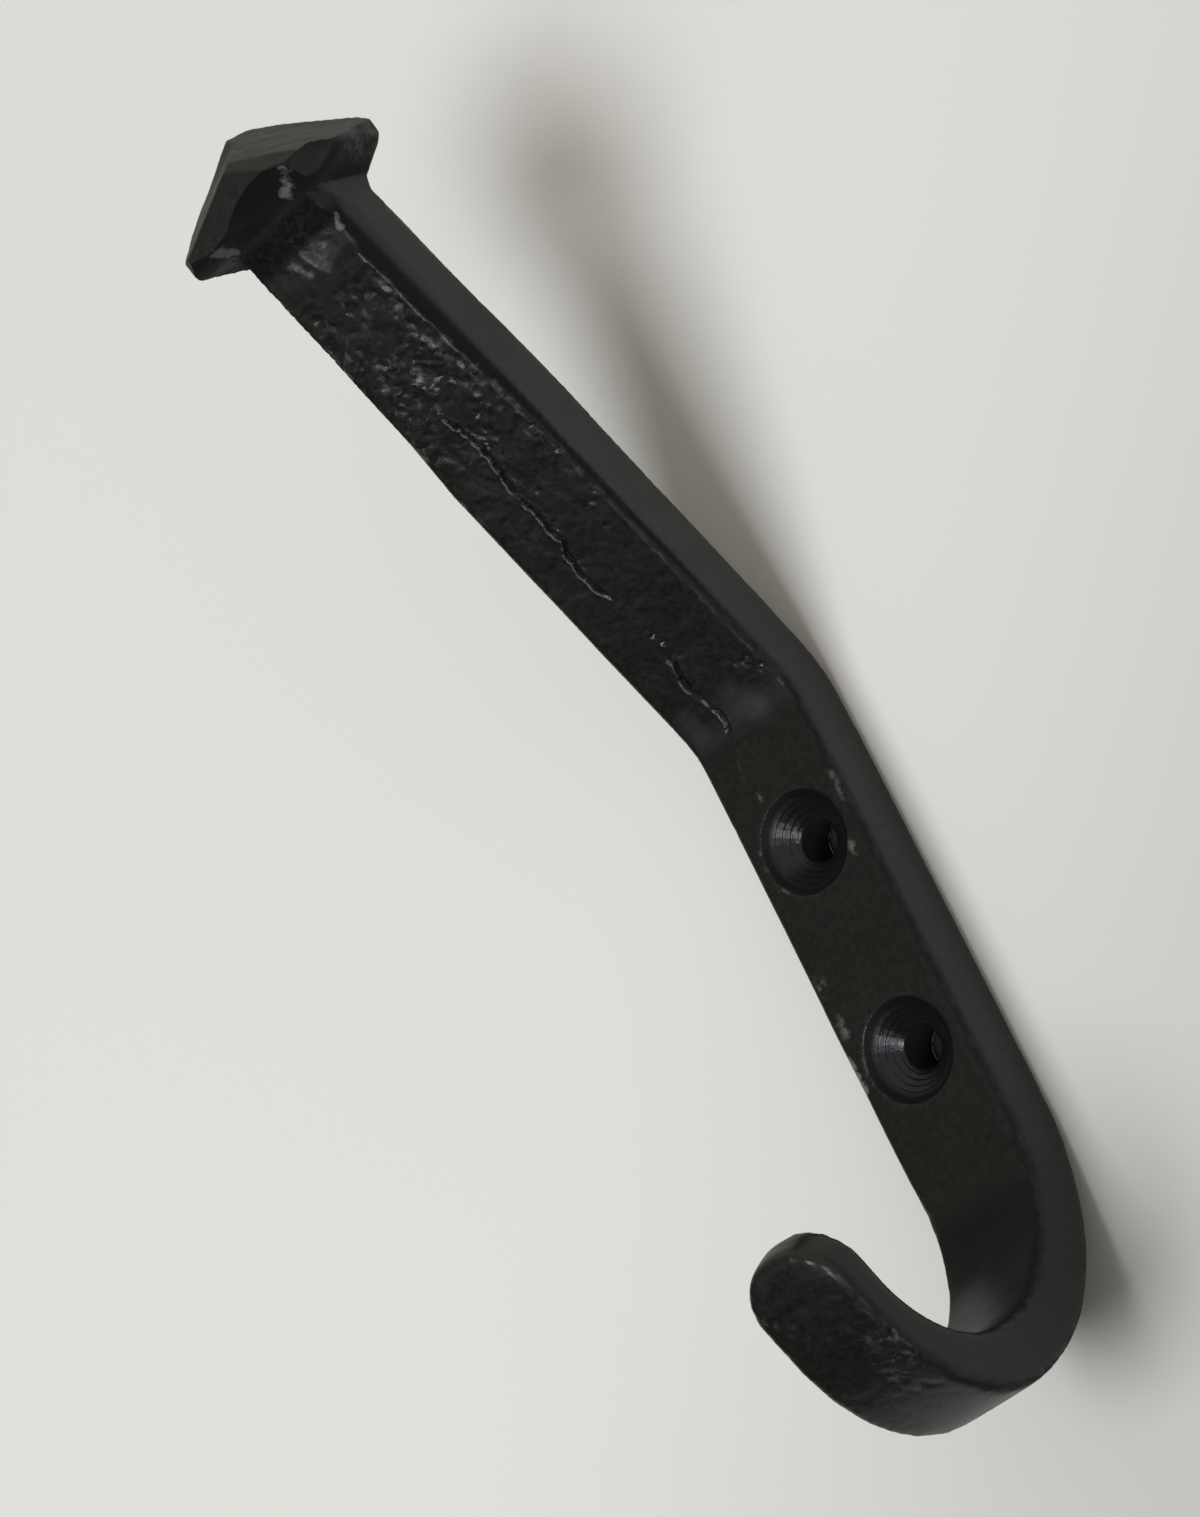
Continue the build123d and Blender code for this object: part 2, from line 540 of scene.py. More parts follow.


# pale lines: chipped paint along the arm's front edges, and a painted highlight along the left of the
# countersinks' rims
def chipsAndRimHighlight(points, normals):
    along = alongArm(points)
    fromEdge = np.abs(np.abs(points[:, 0]) - profile(along, "halfWidth"))
    arm = (1.0 - zone(fromEdge, "edgeLine")) * turned(normals @ armFront, "edgeLine")
    arm *= profile(along, "edgeWear")
    fromRim = np.abs(holeDistance(points) - sink["rim"])
    rim = (1.0 - zone(fromRim, "rimLine")) * zone(-points[:, 0], "rimLeft")
    rim *= (normals[:, 1] < sink["rimTurn"]) & (points[:, 1] < sink["rimOut"])
    return np.maximum(arm, rim)


def onCone(points, normals):
    flattest, steepest = sink["coneTurn"]
    facing = (normals[:, 1] > flattest) & (normals[:, 1] < steepest)
    return facing & (holeDistance(points) < sink["rim"]) & (points[:, 1] < sink["coneOut"])


# painted shade: a dark strip behind the arm's right front edge, and along the strap's right front corner
def edgeShade(points, normals):
    along = alongArm(points)
    behindFace = profile(along, "halfDepth") - (points - armStart) @ armFront
    width = profile(along, "shadeWidth")
    full, gone = limits["stripEdge"]
    strip = (1.0 - blend(behindFace, full * width, gone * width)) * turned(normals[:, 0], "shadeStrip")
    strip *= zone(along, "shadeStart")
    sway = sum(size * np.sin(rate * points[:, 2] + shift) for size, rate, shift in cornerSway)
    sideways = normals[:, 0] + sway
    corner = turned(sideways, "cornerStart") * (1.0 - turned(sideways, "cornerEnd"))
    corner *= zone(holeDistance(points), "cornerByHole")
    tipTop = zone(points[:, 2], "tipTop") * (points[:, 1] < limits["tipOut"])
    corner = amounts["cornerShade"] * corner * (1.0 - tipTop)
    return np.maximum(strip, corner) * (1.0 - zone(along, "shadeEnd"))


# painted shade under the head and round the neck, but not on their right side
def headShade(points, normals, dustAndSheenMark):
    along = alongArm(points)
    headSkin = zone(along, "headSkin")
    leftwards = 1.0 - turned(normals[:, 0], "rightSide")
    under = turned(-normals @ lipUp, "underHead")
    head = amounts["headShade"] * headSkin * under * leftwards * (1.0 - dustAndSheenMark)
    neck = amounts["neckShade"] * zone(along, "neckShade") * (1.0 - headSkin) * leftwards
    return np.maximum(head, neck)


# painted shade inside the curl, below the strap
def curlShade(points, normals, dustAndSheenMark):
    inside = zone(-points[:, 2], "curlInside") * turned(normals[:, 2], "curlInside")
    inside *= (points[:, 1] > limits["curlOut"]) & (normals[:, 1] < limits["curlTurn"])
    return amounts["curlShade"] * inside * (1.0 - amounts["curlDustAndSheen"] * dustAndSheenMark)


# painted shade round the edge of the countersinks, and on the lower half of the upper one
def sinkShade(points, cone):
    depth = hook["sinkRadius"] - holeDistance(points)
    edge = (1.0 - zone(depth, "sinkEdge")) * cone
    low = zone(hook["holeHeights"][0] - points[:, 2], "sinkLow") * (points[:, 2] > 0.0)
    return np.maximum(edge, amounts["sinkShade"] * low * cone)


def skinMasks(points, normals):
    along = alongArm(points)
    radius = holeDistance(points)
    cone = onCone(points, normals)
    headSkin = zone(along, "headSkin")
    dustAndSheenMark = nearMarks(points, "dust")
    inHole = 1.0 - zone(radius, "holeEdge")
    wall = zone(points[:, 1], "wallFace") * turned(normals[:, 1], "wallFace")
    wall *= points[:, 2] < limits["wallTop"]
    lumps = zone(along, "lumps") * (1.0 - headSkin) * turned(normals @ armFront, "lumps")
    fromBend = np.abs(along - limits["blowsMiddle"])
    bend = amounts["bendBlows"] * (1.0 - zone(fromBend, "bendBlows")) * (points[:, 1] < limits["blowsOut"])
    bore = (radius < hook["boreReach"]) & (points[:, 1] < sink["boreOut"])
    soot = (edgeShade(points, normals), headShade(points, normals, dustAndSheenMark),
            curlShade(points, normals, dustAndSheenMark), sinkShade(points, cone))
    return {
        "give": (1.0 - inHole) * (1.0 - wall),  # where the forged relief may move the skin
        "scale": scaleOn(points, normals),
        "lumps": lumps,
        "coneDepth": np.where(cone, hook["sinkRadius"] - radius, 0.0),
        "inCone": cone,
        "inSink": inHole * (normals[:, 1] > sink["sunkTurn"]),
        "pitty": nearMarks(points, "pits"),
        "dust": dustAndSheenMark,
        "worn": nearMarks(points, "worn"),
        "rubbed": nearMarks(points, "rubbed"),
        "soot": np.maximum.reduce(soot),
        "seamShare": profile(points[:, 2], "seam"),
        "arris": chipsAndRimHighlight(points, normals),
        "headSkin": headSkin,
        "uneven": np.maximum(headSkin, bend),
        "inBore": bore & (np.abs(normals[:, 1]) < sink["boreTurn"]),
    }


for name, values in skinMasks(meshPoints(blank.data) / mm, meshNormals(blank.data)).items():
    layer = blank.data.attributes.new(name, "FLOAT", "POINT")
    layer.data.foreach_set("value", values.astype(np.float32))
print("masks stored")


# the seam as a path for the skin to follow
def makeSeamPath():
    curve = bpy.data.curves.new("seamPath", "CURVE")
    curve.dimensions = "3D"
    spline = curve.splines.new("POLY")
    spline.points.add(len(seamPoints) - 1)
    for point, place in zip(spline.points, seamPoints):
        point.co = (*(value * mm for value in place), 1.0)
    path = bpy.data.objects.new("seamPath", curve)
    scene.collection.objects.link(path)
    return path


# the inputs of the forged skin: sizes in millimetres, spreads in pits for each square millimetre,
# and the wander as a share of its reach
skinSizes = {
    "Dent Depth": 0.22, "Scale Depth": 0.32, "Lump Depth": 0.75, "Pit Depth": 0.3, "Pit Radius": 0.62,
    "Pit Spread": 0.06, "Group Spread": 0.35, "Seam Depth": 0.7, "Seam Width": 0.5, "Seam Rim": 0.05,
    "Seam Wander": 0.6, "Blister Height": 0.42, "Blister Radius": 2.9, "Ring Depth": 0.09,
    "Ring Pitch": 0.74, "Uneven Depth": 0.45, "Seed": 4.0,
}
blisterCentre = (-2.6, -41.6, 83.4)
# the clouds that its relief comes from, with sizes in millimetres
reliefClouds = {
    "dents": {"size": 11.0, "detail": 1.0, "level": 0.62},
    "blows": {"size": 4.6, "detail": 2.5, "roughness": 0.55, "distortion": 0.3, "level": 0.6},
    "flakes": {"size": 3.2, "detail": 4.0, "roughness": 0.55, "distortion": 0.6, "steps": (0.41, 0.57)},
    "patches": {"size": 7.0, "distortion": 0.3, "steps": (0.29, 0.46)},
    "lumps": {"size": 2.6, "distortion": 0.6, "level": 0.6},
    "pitEdge": {"size": 0.9, "steps": (0.3, 0.7, 0.55, 1.6)},
    "wander": {"size": 2.5, "detail": 1.5},
    "breaks": {"size": 4.0, "detail": 1.0, "steps": (0.3, 0.4)},
    "blisterEdge": {"size": 2.2, "steps": (0.3, 0.7, 0.75, 1.2)},
    "rings": {"size": 2.4, "detail": 1.0, "steps": (0.3, 0.7, 0.5, 1.3)},
}
# how each cut and rise fades: from, to, and what it gives there
reliefShapes = {
    "pit": (0.3, 1.0, 1.0, 0.0),
    "groove": (0.1, 1.0, 1.0, 0.0),
    "seamRim": (0.0, 0.6, 1.0, 0.0),
    "blister": (0.0, 0.3, 1.0, 0.0),
}
pitSizes = (0.35, 1.0)  # shares of the pit radius
pitCrowding = 1.5  # how much pits keep to the thick scale
pitSeeds = {"places": 7, "sizes": 3}
seamRimAt = 1.5  # in seam widths
wanderReach = 4.0  # millimetres


def skinMask(tree, name):
    return addNode(tree, "GeometryNodeInputNamedAttribute", {"Name": name}, data_type="FLOAT").outputs[0]


def skinPlace(tree):
    return addNode(tree, "GeometryNodeInputPosition").outputs[0]


# broad hammer dents, and smaller blows on the head and the upper bend
def hammerDents(tree, given, place):
    dents = pressedCloud(tree, place, seed=given["Seed"], **reliefClouds["dents"])
    blows = pressedCloud(tree, place, seed=given["Seed"], **reliefClouds["blows"])
    dents = times(tree, dents, given["Dent Depth"])
    return plus(tree, dents, times(tree, blows, given["Uneven Depth"], skinMask(tree, "uneven")))


# crusty forge scale in patches
def forgeScale(tree, given, place, patches):
    flakes = cutCloud(tree, place, seed=given["Seed"], **reliefClouds["flakes"])
    return times(tree, minus(tree, flakes, 1.0), given["Scale Depth"], patches, skinMask(tree, "scale"))


def neckLumps(tree, given, place):
    lumps = pressedCloud(tree, place, seed=given["Seed"], **reliefClouds["lumps"])
    return times(tree, lumps, given["Lump Depth"], skinMask(tree, "lumps"))


# how deep the pits are, scattered where the scale is and in groups
def scalePits(tree, given, place):
    spread = times(tree, calc(tree, "POWER", skinMask(tree, "scale"), pitCrowding), given["Pit Spread"])
    grouped = times(tree, skinMask(tree, "pitty"), given["Group Spread"])
    spread = times(tree, plus(tree, spread, grouped), perMetre ** 2)
    feeds = {"Mesh": given["Geometry"], "Density": spread, "Seed": pitSeeds["places"]}
    pits = addNode(tree, "GeometryNodeDistributePointsOnFaces", feeds).outputs["Points"]
    nearest = addNode(tree, "GeometryNodeSampleNearest", {0: pits}).outputs[0]
    spot = addNode(tree, "GeometryNodeSampleIndex", {0: pits, "Index": nearest}, data_type="FLOAT_VECTOR")
    feed(tree, spot.inputs["Value"], skinPlace(tree))
    spotPlace = scaled(tree, spot.outputs[0], perMetre)
    away = vectorCalc(tree, "DISTANCE", place, spotPlace).outputs["Value"]
    away = times(tree, away, cutCloud(tree, place, seed=given["Seed"], **reliefClouds["pitEdge"]))
    feeds = {"ID": nearest, "Seed": pitSeeds["sizes"]}
    size = addNode(tree, "FunctionNodeRandomValue", feeds, data_type="FLOAT")
    feed(tree, size.inputs[2], pitSizes[0])
    feed(tree, size.inputs[3], pitSizes[1])
    size = size.outputs[1]
    reach = times(tree, size, given["Pit Radius"])
    hollow = ramp(tree, calc(tree, "DIVIDE", away, reach), *reliefShapes["pit"])
    return times(tree, hollow, size, given["Pit Depth"])


# the seam, a groove along its path that wanders a little: where it is, how deep, and its raised rim
def seamGroove(tree, given, place):
    path = addNode(tree, "GeometryNodeObjectInfo", {"Object": given["Seam Path"]}).outputs["Geometry"]
    path = addNode(tree, "GeometryNodeCurveToMesh", {0: path}).outputs[0]
    wander = noise(tree, place, seed=given["Seed"], **reliefClouds["wander"]).outputs["Color"]
    wander = vectorCalc(tree, "SUBTRACT", wander, (0.5, 0.5, 0.5)).outputs[0]
    wander = scaled(tree, scaled(tree, wander, given["Seam Wander"]), wanderReach * mm)
    probe = vectorCalc(tree, "ADD", skinPlace(tree), wander).outputs[0]
    gap = addNode(tree, "GeometryNodeProximity", {0: path, "Sample Position": probe}, target_element="EDGES")
    gap = times(tree, gap.outputs["Distance"], perMetre)
    gap = calc(tree, "DIVIDE", gap, given["Seam Width"])
    breaks = cutCloud(tree, place, seed=given["Seed"], **reliefClouds["breaks"])
    breaks = times(tree, breaks, skinMask(tree, "seamShare"))
    seam = times(tree, ramp(tree, gap, *reliefShapes["groove"]), breaks)
    fromRim = calc(tree, "ABSOLUTE", minus(tree, gap, seamRimAt))
    rim = times(tree, ramp(tree, fromRim, *reliefShapes["seamRim"]), breaks, given["Seam Rim"])
    return seam, times(tree, seam, given["Seam Depth"]), rim


# a raised oval blister in the scale
def scaleBlister(tree, given, place):
    away = vectorCalc(tree, "DISTANCE", place, given["Blister Centre"]).outputs["Value"]
    ragged = cutCloud(tree, place, seed=given["Seed"], **reliefClouds["blisterEdge"])
    away = calc(tree, "DIVIDE", away, times(tree, given["Blister Radius"], ragged))
    rise = ramp(tree, calc(tree, "ABSOLUTE", minus(tree, away, 1.0)), *reliefShapes["blister"])
    return times(tree, rise, given["Blister Height"], skinMask(tree, "scale"))


# tool rings cut in the countersinks
def toolRings(tree, given, place):
    turn = calc(tree, "FRACT", calc(tree, "DIVIDE", skinMask(tree, "coneDepth"), given["Ring Pitch"]))
    uneven = cutCloud(tree, place, seed=given["Seed"], **reliefClouds["rings"])
    return times(tree, minus(tree, 1.0, turn), uneven, given["Ring Depth"], skinMask(tree, "inCone"), -1.0)


def forgedSkinTree():
    tree = bpy.data.node_groups.new("forgedSkin", "GeometryNodeTree")
    face = tree.interface
    inputs = {"Geometry": "Geometry", "Seam Path": "Object", "Paint": "Material", "Blister Centre": "Vector"}
    inputs.update(dict.fromkeys(skinSizes, "Float"))
    for name, kind in inputs.items():
        face.new_socket(name, in_out="INPUT", socket_type="NodeSocket" + kind)
    face.new_socket("Geometry", in_out="OUTPUT", socket_type="NodeSocketGeometry")
    given = addNode(tree, "NodeGroupInput").outputs
    place = scaled(tree, skinPlace(tree), perMetre)

    patches = cutCloud(tree, place, seed=given["Seed"], **reliefClouds["patches"])
    pitCut = scalePits(tree, given, place)
    seam, seamCut, seamRim = seamGroove(tree, given, place)
    hammered = plus(tree, hammerDents(tree, given, place), forgeScale(tree, given, place, patches))
    raised = plus(tree, neckLumps(tree, given, place), scaleBlister(tree, given, place))
    total = plus(tree, hammered, raised, seamRim)
    total = minus(tree, total, calc(tree, "MAXIMUM", pitCut, seamCut))
    total = plus(tree, times(tree, total, skinMask(tree, "give")), toolRings(tree, given, place))
    push = scaled(tree, addNode(tree, "GeometryNodeInputNormal").outputs[0], times(tree, total, mm))

    kept = given["Geometry"]
    for name, value in (("seam", seam), ("crusty", patches)):  # for the paint to read
        feeds = {"Geometry": kept, "Name": name, "Value": value}
        keep = addNode(tree, "GeometryNodeStoreNamedAttribute", feeds, data_type="FLOAT", domain="POINT")
        kept = keep.outputs[0]
    moved = addNode(tree, "GeometryNodeSetPosition", {"Geometry": kept, "Offset": push}).outputs[0]
    smooth = addNode(tree, "GeometryNodeSetShadeSmooth", {"Geometry": moved}).outputs[0]
    whole = addNode(tree, "GeometryNodeRealizeInstances", {"Geometry": smooth}).outputs[0]
    feeds = {"Geometry": whole, "Material": given["Paint"]}
    painted = addNode(tree, "GeometryNodeSetMaterial", feeds).outputs[0]
    addNode(tree, "NodeGroupOutput", {0: painted})
    return tree


# satin black paint over forge scale: its colours, among them painted shade, painted sheen and painted glints
paint = {
    "black": (0.0030, 0.0030, 0.0028, 1.0),
    "speckled": (0.0068, 0.0070, 0.0060, 1.0),
    # pale patches: dust, and painted sheen and reflection on the upper bend and the curl
    "dustAndSheenMark": (0.022, 0.023, 0.023, 1.0),
    # bare metal, also used for painted glints
    "bareAndGlint": (0.12, 0.12, 0.128, 1.0),
    "rubbed": (0.09, 0.09, 0.093, 1.0),
    # near black painted shade, in recesses, along edges and in the seam
    "soot": (0.0015, 0.0015, 0.0015, 1.0),
    "sunk": (0.004, 0.004, 0.0062, 1.0),
}
# its clouds, with sizes in millimetres
paintClouds = {
    "smudge": {"size": 9.0, "detail": 4.0, "roughness": 0.6},
    "grain": {"size": 0.45, "roughness": 0.6},
    "flakes": {"size": 1.1, "detail": 4.0, "roughness": 0.65, "distortion": 0.5},
    "raggedEdge": {"size": 1.6, "detail": 4.0, "roughness": 0.65, "distortion": 0.5, "level": 0.5},
    "edgeBreaks": {"size": 2.6, "detail": 3.0, "roughness": 0.6, "steps": (0.5, 0.62)},
    "speckle": {"size": 0.9, "detail": 3.0, "roughness": 0.7, "steps": (0.35, 0.65)},
    "rubbed": {"size": 1.3, "detail": 4.0, "roughness": 0.65, "steps": (0.42, 0.62)},
    "greyed": {"size": 2.1, "detail": 4.0, "roughness": 0.65, "distortion": 0.4, "steps": (0.54, 0.68)},
}
# how strong each kind of wear, painted glint and painted shade is, where it fades, how rough it leaves the
# paint, and the height of the grain in millimetres
wearing = {"ragged": 2.2, "worn": 1.1, "paleEdgeShare": 0.4, "greyed": 0.55, "metal": 0.5}
wearSteps = {
    # dust and painted sheen
    "dust": (0.3, 0.7),
    "worn": (0.45, 1.0),
    "markReach": (0.0, 0.3),
    "greyed": (0.3, 0.8),
    # painted shade along the seam
    "seamShade": (0.3, 0.7),
    "seamMetal": (0.2, 0.6),
}
roughening = {
    "smudge": (0.3, 0.7, 0.25, 0.35),
    "scale": (0.3, 0.7, -0.02, 0.14),
    "lumps": (0.4, 0.6, 0.05, 0.4),
    "speckle": 0.06,
    "headSkin": 0.2,
    "rubbed": 0.18,
    "inBore": 0.5,
    # painted shade is rougher
    "soot": 0.4,
    "seam": 0.4,
}
grainHeights = {"paint": 0.018, "headSkin": 0.06, "scale": 0.09}
paintGloss = 1.5  # index of refraction


def paintMask(tree, name):
    return addNode(tree, "ShaderNodeAttribute", attribute_name=name).outputs["Fac"]


# bare metal and painted glints: ragged spots, and chips along the pale edges, where the countersinks' rims
# get a painted highlight
def wornAndGlints(tree, place):
    ragged = times(tree, pressedCloud(tree, place, **paintClouds["raggedEdge"]), wearing["ragged"])
    spots = plus(tree, times(tree, paintMask(tree, "worn"), wearing["worn"]), ragged)
    reach = ramp(tree, paintMask(tree, "worn"), *wearSteps["markReach"])
    spots = times(tree, ramp(tree, spots, *wearSteps["worn"]), reach)
    edgeBreaks = times(tree, paintMask(tree, "arris"), cutCloud(tree, place, **paintClouds["edgeBreaks"]))
    return calc(tree, "MAXIMUM", spots, times(tree, edgeBreaks, wearing["paleEdgeShare"]))


def paintColour(tree, place, wear):
    # pale patches: dust, with painted sheen on the upper bend and painted reflection on the curl
    dust = times(tree, paintMask(tree, "dust"), ramp(tree, wear["smudge"], *wearSteps["dust"]))
    greyed = cutCloud(tree, place, **paintClouds["greyed"])
    greyed = times(tree, greyed, ramp(tree, wear["crusty"], *wearSteps["greyed"]), wearing["greyed"])
    layers = (
        (dust, "dustAndSheenMark"),
        (paintMask(tree, "inSink"), "sunk"),
        (paintMask(tree, "soot"), "soot"),
        (calc(tree, "MAXIMUM", wear["rubbed"], greyed), "rubbed"),
        (wear["worn"], "bareAndGlint"),
        # painted shade along the seam's groove
        (ramp(tree, paintMask(tree, "seam"), *wearSteps["seamShade"]), "soot"),
    )
    colour = mixColour(tree, wear["speckle"], paint["black"], paint["speckled"])
    for amount, name in layers:
        colour = mixColour(tree, amount, colour, paint[name])
    return colour


def paintRoughness(tree, wear):
    rough = plus(
        tree,
        ramp(tree, wear["smudge"], *roughening["smudge"]),
        times(tree, minus(tree, wear["speckle"], 0.5), roughening["speckle"]),
        times(tree, wear["crusty"], ramp(tree, wear["flakes"], *roughening["scale"])),
        times(tree, paintMask(tree, "headSkin"), roughening["headSkin"]),
        times(tree, wear["rubbed"], roughening["rubbed"]),
        times(tree, paintMask(tree, "lumps"), ramp(tree, wear["flakes"], *roughening["lumps"])),
        times(tree, paintMask(tree, "inBore"), roughening["inBore"]),
        times(tree, paintMask(tree, "soot"), roughening["soot"]),
    )
    return calc(tree, "ADD", rough, times(tree, paintMask(tree, "seam"), roughening["seam"]), True)


def paintBump(tree, place, wear):
    height = plus(
        tree,
        times(tree, cloud(tree, place, **paintClouds["grain"]), grainHeights["paint"]),
        times(tree, wear["flakes"], paintMask(tree, "headSkin"), grainHeights["headSkin"]),
        times(tree, wear["flakes"], wear["crusty"], grainHeights["scale"]),
    )
    return addNode(tree, "ShaderNodeBump", {"Height": height, "Strength": 1.0, "Distance": mm}).outputs[0]


def satinBlack():
    material = bpy.data.materials.new("satinBlackPaint")
    material.use_nodes = True
    tree = material.node_tree
    shader = tree.nodes["Principled BSDF"]
    place = scaled(tree, addNode(tree, "ShaderNodeTexCoord").outputs["Object"], perMetre)
    rubbedThrough = cutCloud(tree, place, **paintClouds["rubbed"])
    wear = {
        "smudge": cloud(tree, place, **paintClouds["smudge"]),
        "flakes": cloud(tree, place, **paintClouds["flakes"]),
        "speckle": cutCloud(tree, place, **paintClouds["speckle"]),
        "worn": wornAndGlints(tree, place),
        "rubbed": times(tree, paintMask(tree, "rubbed"), rubbedThrough),
        "crusty": times(tree, paintMask(tree, "scale"), paintMask(tree, "crusty")),
    }
    # painted shade and the seam turn partly metallic, so that their reflections go near black too
    shadeMetal = ramp(tree, paintMask(tree, "seam"), *wearSteps["seamMetal"])
    shadeMetal = calc(tree, "MAXIMUM", paintMask(tree, "soot"), shadeMetal)
    shadeMetal = times(tree, shadeMetal, minus(tree, 1.0, wear["worn"]), wearing["metal"])
    feed(tree, shader.inputs["Base Color"], paintColour(tree, place, wear))
    feed(tree, shader.inputs["Roughness"], paintRoughness(tree, wear))
    feed(tree, shader.inputs["Metallic"], shadeMetal)
    feed(tree, shader.inputs["Normal"], paintBump(tree, place, wear))
    shader.inputs["IOR"].default_value = paintGloss
    return material


def forgeSkin(blank, seamPath, material):
    modifier = blank.modifiers.new("forgedSkin", "NODES")
    modifier.node_group = forgedSkinTree()
    items = modifier.node_group.interface.items_tree
    sockets = {item.name: item.identifier for item in items if item.in_out == "INPUT"}
    values = {"Seam Path": seamPath, "Paint": material, "Blister Centre": blisterCentre, **skinSizes}
    for name, value in values.items():
        modifier[sockets[name]] = value
    return plainMesh(blank)


def insideBox(mesh):
    points = np.clip(meshPoints(mesh), cadBox[0], cadBox[1])
    mesh.vertices.foreach_set("co", points.ravel())
    mesh.update()


seamPath = makeSeamPath()
hookMesh = forgeSkin(blank, seamPath, satinBlack())
insideBox(hookMesh)
hookMesh.name = "forgedHook"
forgedHook = bpy.data.objects.new("forgedHook", hookMesh)
scene.collection.objects.link(forgedHook)
bpy.data.objects.remove(seamPath)
bpy.data.objects.remove(blank)
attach(forgedHook, "root")
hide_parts("spike_hook")
print("forged hook:", len(hookMesh.polygons), "triangles")

# the pale sheet that the wall face lies on, in metres, with painted shade that darkens it towards +x and
# down, and the dark behind the screw holes
sheet = {
    "half": 1.2,
    "gap": 0.00015,
    "colour": (0.76, 0.75, 0.725, 1.0),
    "shadedColour": (0.53, 0.53, 0.53, 1.0),
    "shadeTowards": (0.6, 0.0, -0.8),
    "shadeFrom": -0.05,
    "shadeTo": 0.12,
    "mirrored": 0.58,
    "roughness": 0.9,
    "touch": 0.0008,
    "underHoles": (0.03, 0.03, 0.033, 1.0),
    "discSides": 32,
}


def plainMaterial(name):
    material = bpy.data.materials.new(name)
    material.use_nodes = True
    shader = material.node_tree.nodes["Principled BSDF"]
    shader.inputs["Roughness"].default_value = sheet["roughness"]
    return material, material.node_tree, shader


# seen from the front alone, and not by what lies against it
def clearBehind(tree, shader):
    clear = addNode(tree, "ShaderNodeBsdfTransparent")
    behind = addNode(tree, "ShaderNodeNewGeometry").outputs["Backfacing"]
    rayLength = addNode(tree, "ShaderNodeLightPath").outputs["Ray Length"]
    behind = calc(tree, "MAXIMUM", behind, calc(tree, "LESS_THAN", rayLength, sheet["touch"]))
    both = addNode(tree, "ShaderNodeMixShader", {0: behind, 1: shader.outputs[0], 2: clear.outputs[0]})
    tree.links.new(both.outputs[0], tree.nodes["Material Output"].inputs["Surface"])


def makeSheet():
    material, tree, shader = plainMaterial("paleSheet")
    place = addNode(tree, "ShaderNodeTexCoord").outputs["Object"]
    # painted shade: the sheet darkens towards +x and down
    sheetShade = vectorCalc(tree, "DOT_PRODUCT", place, sheet["shadeTowards"]).outputs["Value"]
    sheetShade = ramp(tree, sheetShade, sheet["shadeFrom"], sheet["shadeTo"])
    colour = mixColour(tree, sheetShade, sheet["colour"], sheet["shadedColour"])
    seen = addNode(tree, "ShaderNodeLightPath").outputs["Is Camera Ray"]
    dim = scaled(tree, colour, sheet["mirrored"])
    feed(tree, shader.inputs["Base Color"], mixColour(tree, seen, dim, colour))
    clearBehind(tree, shader)
    half, gap = sheet["half"], sheet["gap"]
    mesh = bpy.data.meshes.new("paleSheet")
    corners = [(-half, gap, -half), (half, gap, -half), (half, gap, half), (-half, gap, half)]
    mesh.from_pydata(corners, [], [(0, 1, 2, 3)])
    mesh.materials.append(material)
    floor = bpy.data.objects.new("paleSheet", mesh)
    scene.collection.objects.link(floor)
    floor.visible_shadow = False


def makeHoleShade():
    material, tree, shader = plainMaterial("holeShade")
    shader.inputs["Base Color"].default_value = sheet["underHoles"]
    clearBehind(tree, shader)
    bm = bmesh.new()
    turn = Matrix.Rotation(math.radians(90.0), 4, "X")
    for height in hook["holeHeights"]:
        place = Matrix.Translation((0.0, 0.5 * sheet["gap"], height * mm))
        bmesh.ops.create_circle(bm, cap_ends=True, segments=sheet["discSides"],
                                radius=hook["boreReach"] * mm, matrix=place @ turn)
    mesh = bpy.data.meshes.new("holeShade")
    bm.to_mesh(mesh)
    bm.free()
    mesh.materials.append(material)
    shade = bpy.data.objects.new("holeShade", mesh)
    scene.collection.objects.link(shade)


makeSheet()
makeHoleShade()
print("sheet laid")

# a dim room: darker to the lower left, lighter to the upper right, with the sheet's side behind
room = {
    "backdrop": (0.70, 0.685, 0.65, 1.0),
    "dark": 0.08,
    "front": 0.24,
    "light": 0.56,
    "sheetSide": 0.38,
    "across": 0.8,
    "upwards": 0.9,
    "darkEnd": -0.8,
    "middle": -0.15,
    "lightEnd": 0.8,
    "behind": (-0.15, 0.3),
    "warm": (1.0, 0.965, 0.86, 1.0),
    "cool": (0.98, 1.0, 1.0, 1.0),
}
# one big soft lamp, and three that show only in the gloss
lamps = {
    "lamp": {"from": (-0.155, -0.981, -0.114), "size": 1.0, "power": 19.4, "colour": (0.985, 0.99, 1.0),
             "gloss": False},
    "glint": {"from": (0.10, -0.89, -0.44), "size": 0.4, "power": 5.6, "colour": (1.0, 1.0, 1.0),
              "gloss": True},
    "sheen": {"from": (-0.52, -0.80, -0.28), "size": 0.9, "power": 0.55, "colour": (1.0, 1.0, 1.0),
              "gloss": True},
    "window": {"from": (0.48, -0.62, -0.62), "size": 0.5, "power": 7.6, "colour": (0.85, 0.9, 1.0),
               "gloss": True},
}
lampAim = (0.0, 0.0, 0.03)
lampAway = 1.6


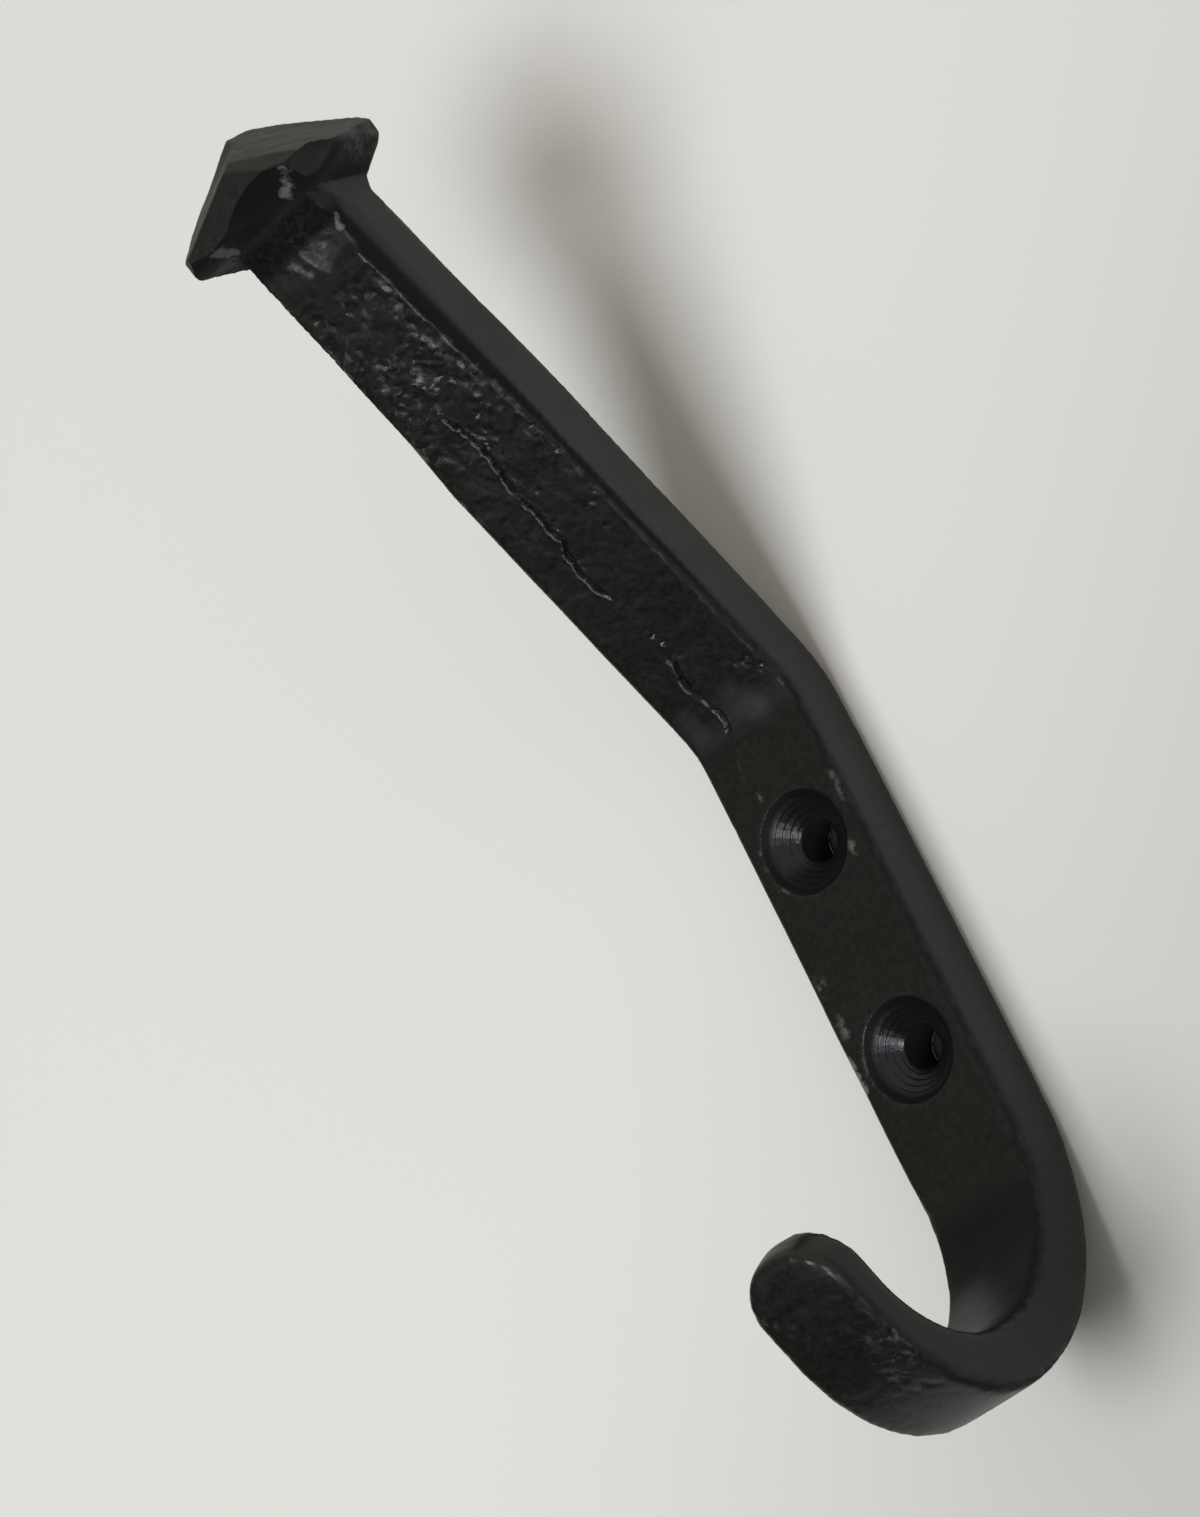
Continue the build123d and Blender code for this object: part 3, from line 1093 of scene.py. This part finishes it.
def makeWorld():
    world = bpy.data.worlds.new("studio")
    scene.world = world
    world.use_nodes = True
    tree = world.node_tree
    tree.nodes.clear()
    direction = addNode(tree, "ShaderNodeTexCoord").outputs["Generated"]
    parts = addNode(tree, "ShaderNodeSeparateXYZ", {0: direction}).outputs
    side = plus(tree, times(tree, parts["X"], room["across"]), times(tree, parts["Z"], room["upwards"]))
    darker = ramp(tree, side, room["darkEnd"], room["middle"], room["dark"], room["front"])
    lighter = ramp(tree, side, room["middle"], room["lightEnd"], 0.0, room["light"] - room["front"])
    behind = ramp(tree, parts["Y"], *room["behind"])
    feeds = {0: behind, 2: plus(tree, darker, lighter), 3: room["sheetSide"]}
    level = addNode(tree, "ShaderNodeMix", feeds).outputs[0]
    tint = mixColour(tree, behind, room["warm"], room["cool"])
    around = addNode(tree, "ShaderNodeBackground", {"Color": tint, "Strength": level})
    backdrop = addNode(tree, "ShaderNodeBackground", {"Color": room["backdrop"], "Strength": 1.0})
    seen = addNode(tree, "ShaderNodeLightPath").outputs["Is Camera Ray"]
    both = addNode(tree, "ShaderNodeMixShader", {0: seen, 1: around.outputs[0], 2: backdrop.outputs[0]})
    addNode(tree, "ShaderNodeOutputWorld", {"Surface": both.outputs[0]})


def makeLamp(name, kind):
    lamp = bpy.data.lights.new(name, "AREA")
    lamp.shape = "DISK"
    lamp.size = kind["size"]
    lamp.energy = kind["power"]
    lamp.color = kind["colour"]
    holder = bpy.data.objects.new(name, lamp)
    away = Vector(kind["from"]).normalized()
    holder.location = Vector(lampAim) + away * lampAway
    holder.rotation_euler = away.to_track_quat("Z", "Y").to_euler()
    holder.visible_glossy = kind["gloss"]
    holder.visible_diffuse = not kind["gloss"]
    scene.collection.objects.link(holder)


makeWorld()
for name, kind in lamps.items():
    makeLamp(name, kind)
print("lamps hung:", ", ".join(lamps))

# the camera: where it stands, in metres, what way it looks, how far it is rolled, and its lens
view = {
    "place": (0.302276, -0.480372, -0.140743),
    "look": (-0.54181, 0.7836, 0.304),
    "roll": 26.011,
    "lens": 106.79,
    "sensor": 36.0,
    "near": 0.01,
}


def makeCamera():
    data = bpy.data.cameras.new("photoView")
    data.sensor_width = view["sensor"]
    data.lens = view["lens"]
    data.clip_start = view["near"]
    camera = bpy.data.objects.new("photoView", data)
    look = Vector(view["look"]).normalized()
    right = look.cross(Vector((0.0, 0.0, 1.0))).normalized()
    up = right.cross(look)
    roll = math.radians(view["roll"])
    rolledRight = right * math.cos(roll) - up * math.sin(roll)
    rolledUp = right * math.sin(roll) + up * math.cos(roll)
    turn = Matrix((rolledRight, rolledUp, -look)).transposed()
    camera.matrix_world = Matrix.Translation(Vector(view["place"])) @ turn.to_4x4()
    scene.collection.objects.link(camera)
    scene.camera = camera


makeCamera()
